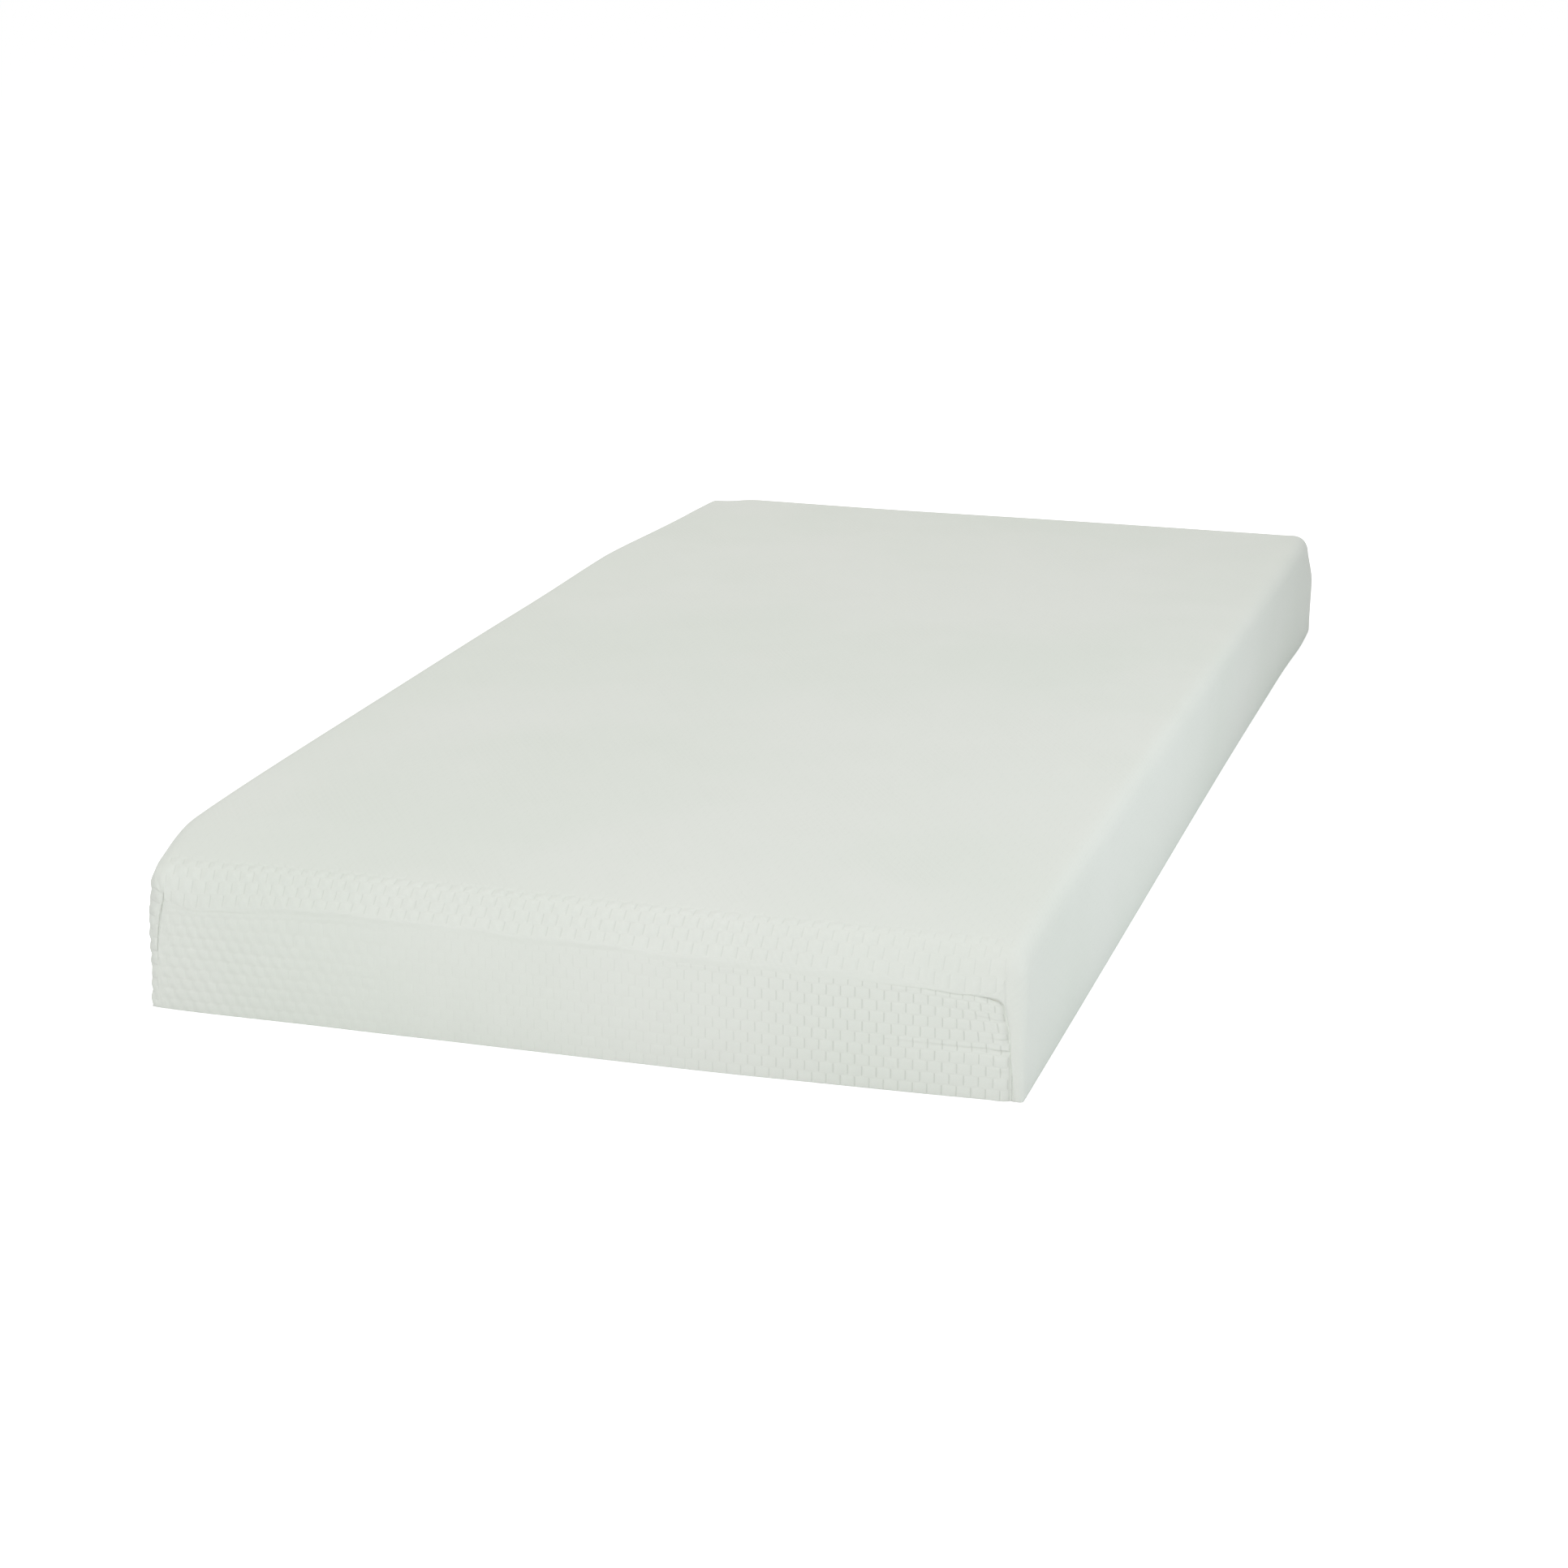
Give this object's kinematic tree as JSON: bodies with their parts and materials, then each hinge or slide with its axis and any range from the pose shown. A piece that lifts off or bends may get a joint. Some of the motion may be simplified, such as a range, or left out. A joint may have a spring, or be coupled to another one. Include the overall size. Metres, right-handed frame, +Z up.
{
  "type": "memory foam mattress",
  "caption": "Free-standing foam mattress in a knit cover: comfort and support foam inside a flame barrier, with a zip across the head end.",
  "frame": {"origin": "middle of the flat underside, on the plane that the mattress lies on", "axes": "+X across the bed, +Y towards the head end where the zip is, -Y towards the foot end, +Z up out of the sleeping surface"},
  "size_m": [0.9652, 1.9089, 0.1524],
  "materials": {
    "cover_knit": "matte",
    "underside_fabric": "matte",
    "flame_barrier": "matte",
    "memory_foam": "matte",
    "support_foam": "matte",
    "seam_thread": "satin",
    "zip_tape": "matte",
    "zip_nylon": "satin",
    "zip_metal": "polished"
  },
  "bodies": {
    "mattress": {"base_foam": "support_foam", "comfort_foam": "memory_foam", "fire_sock": "flame_barrier", "fire_sock_thread": "seam_thread", "cover_top": "cover_knit", "foot_end_panel": "cover_knit", "head_end_panel": "cover_knit", "head_zip_strip": "cover_knit", "foot_seam_thread": "seam_thread", "head_seam_thread": "seam_thread", "bottom_panel": "underside_fabric", "bottom_seam_thread": "seam_thread", "zip_tape_upper": "zip_tape", "zip_tape_lower": "zip_tape", "zip_stitches_upper": "seam_thread", "zip_stitches_lower": "seam_thread", "zip_coil_upper": "zip_nylon", "zip_coil_lower": "zip_nylon", "zip_top_stop_upper": "zip_metal", "zip_top_stop_lower": "zip_metal", "zip_bottom_stop": "zip_metal"},
    "slider": {"zip_slider": "zip_metal"},
    "pull": {"zip_pull": "zip_metal"}
  },
  "joints": [
    {"name": "zip_slide", "type": "slide", "parent": "mattress", "child": "slider", "axis": [-1, 0, 0], "range_m": [0, 0.9038], "deforming": ["zip_coil_upper", "zip_coil_lower"]},
    {"name": "pull_swing", "type": "hinge", "parent": "slider", "child": "pull", "pos_m": [0.4526, 0.9544, 0.044], "axis": [0, 0, -1], "range_deg": [0, 180]}
  ]
}
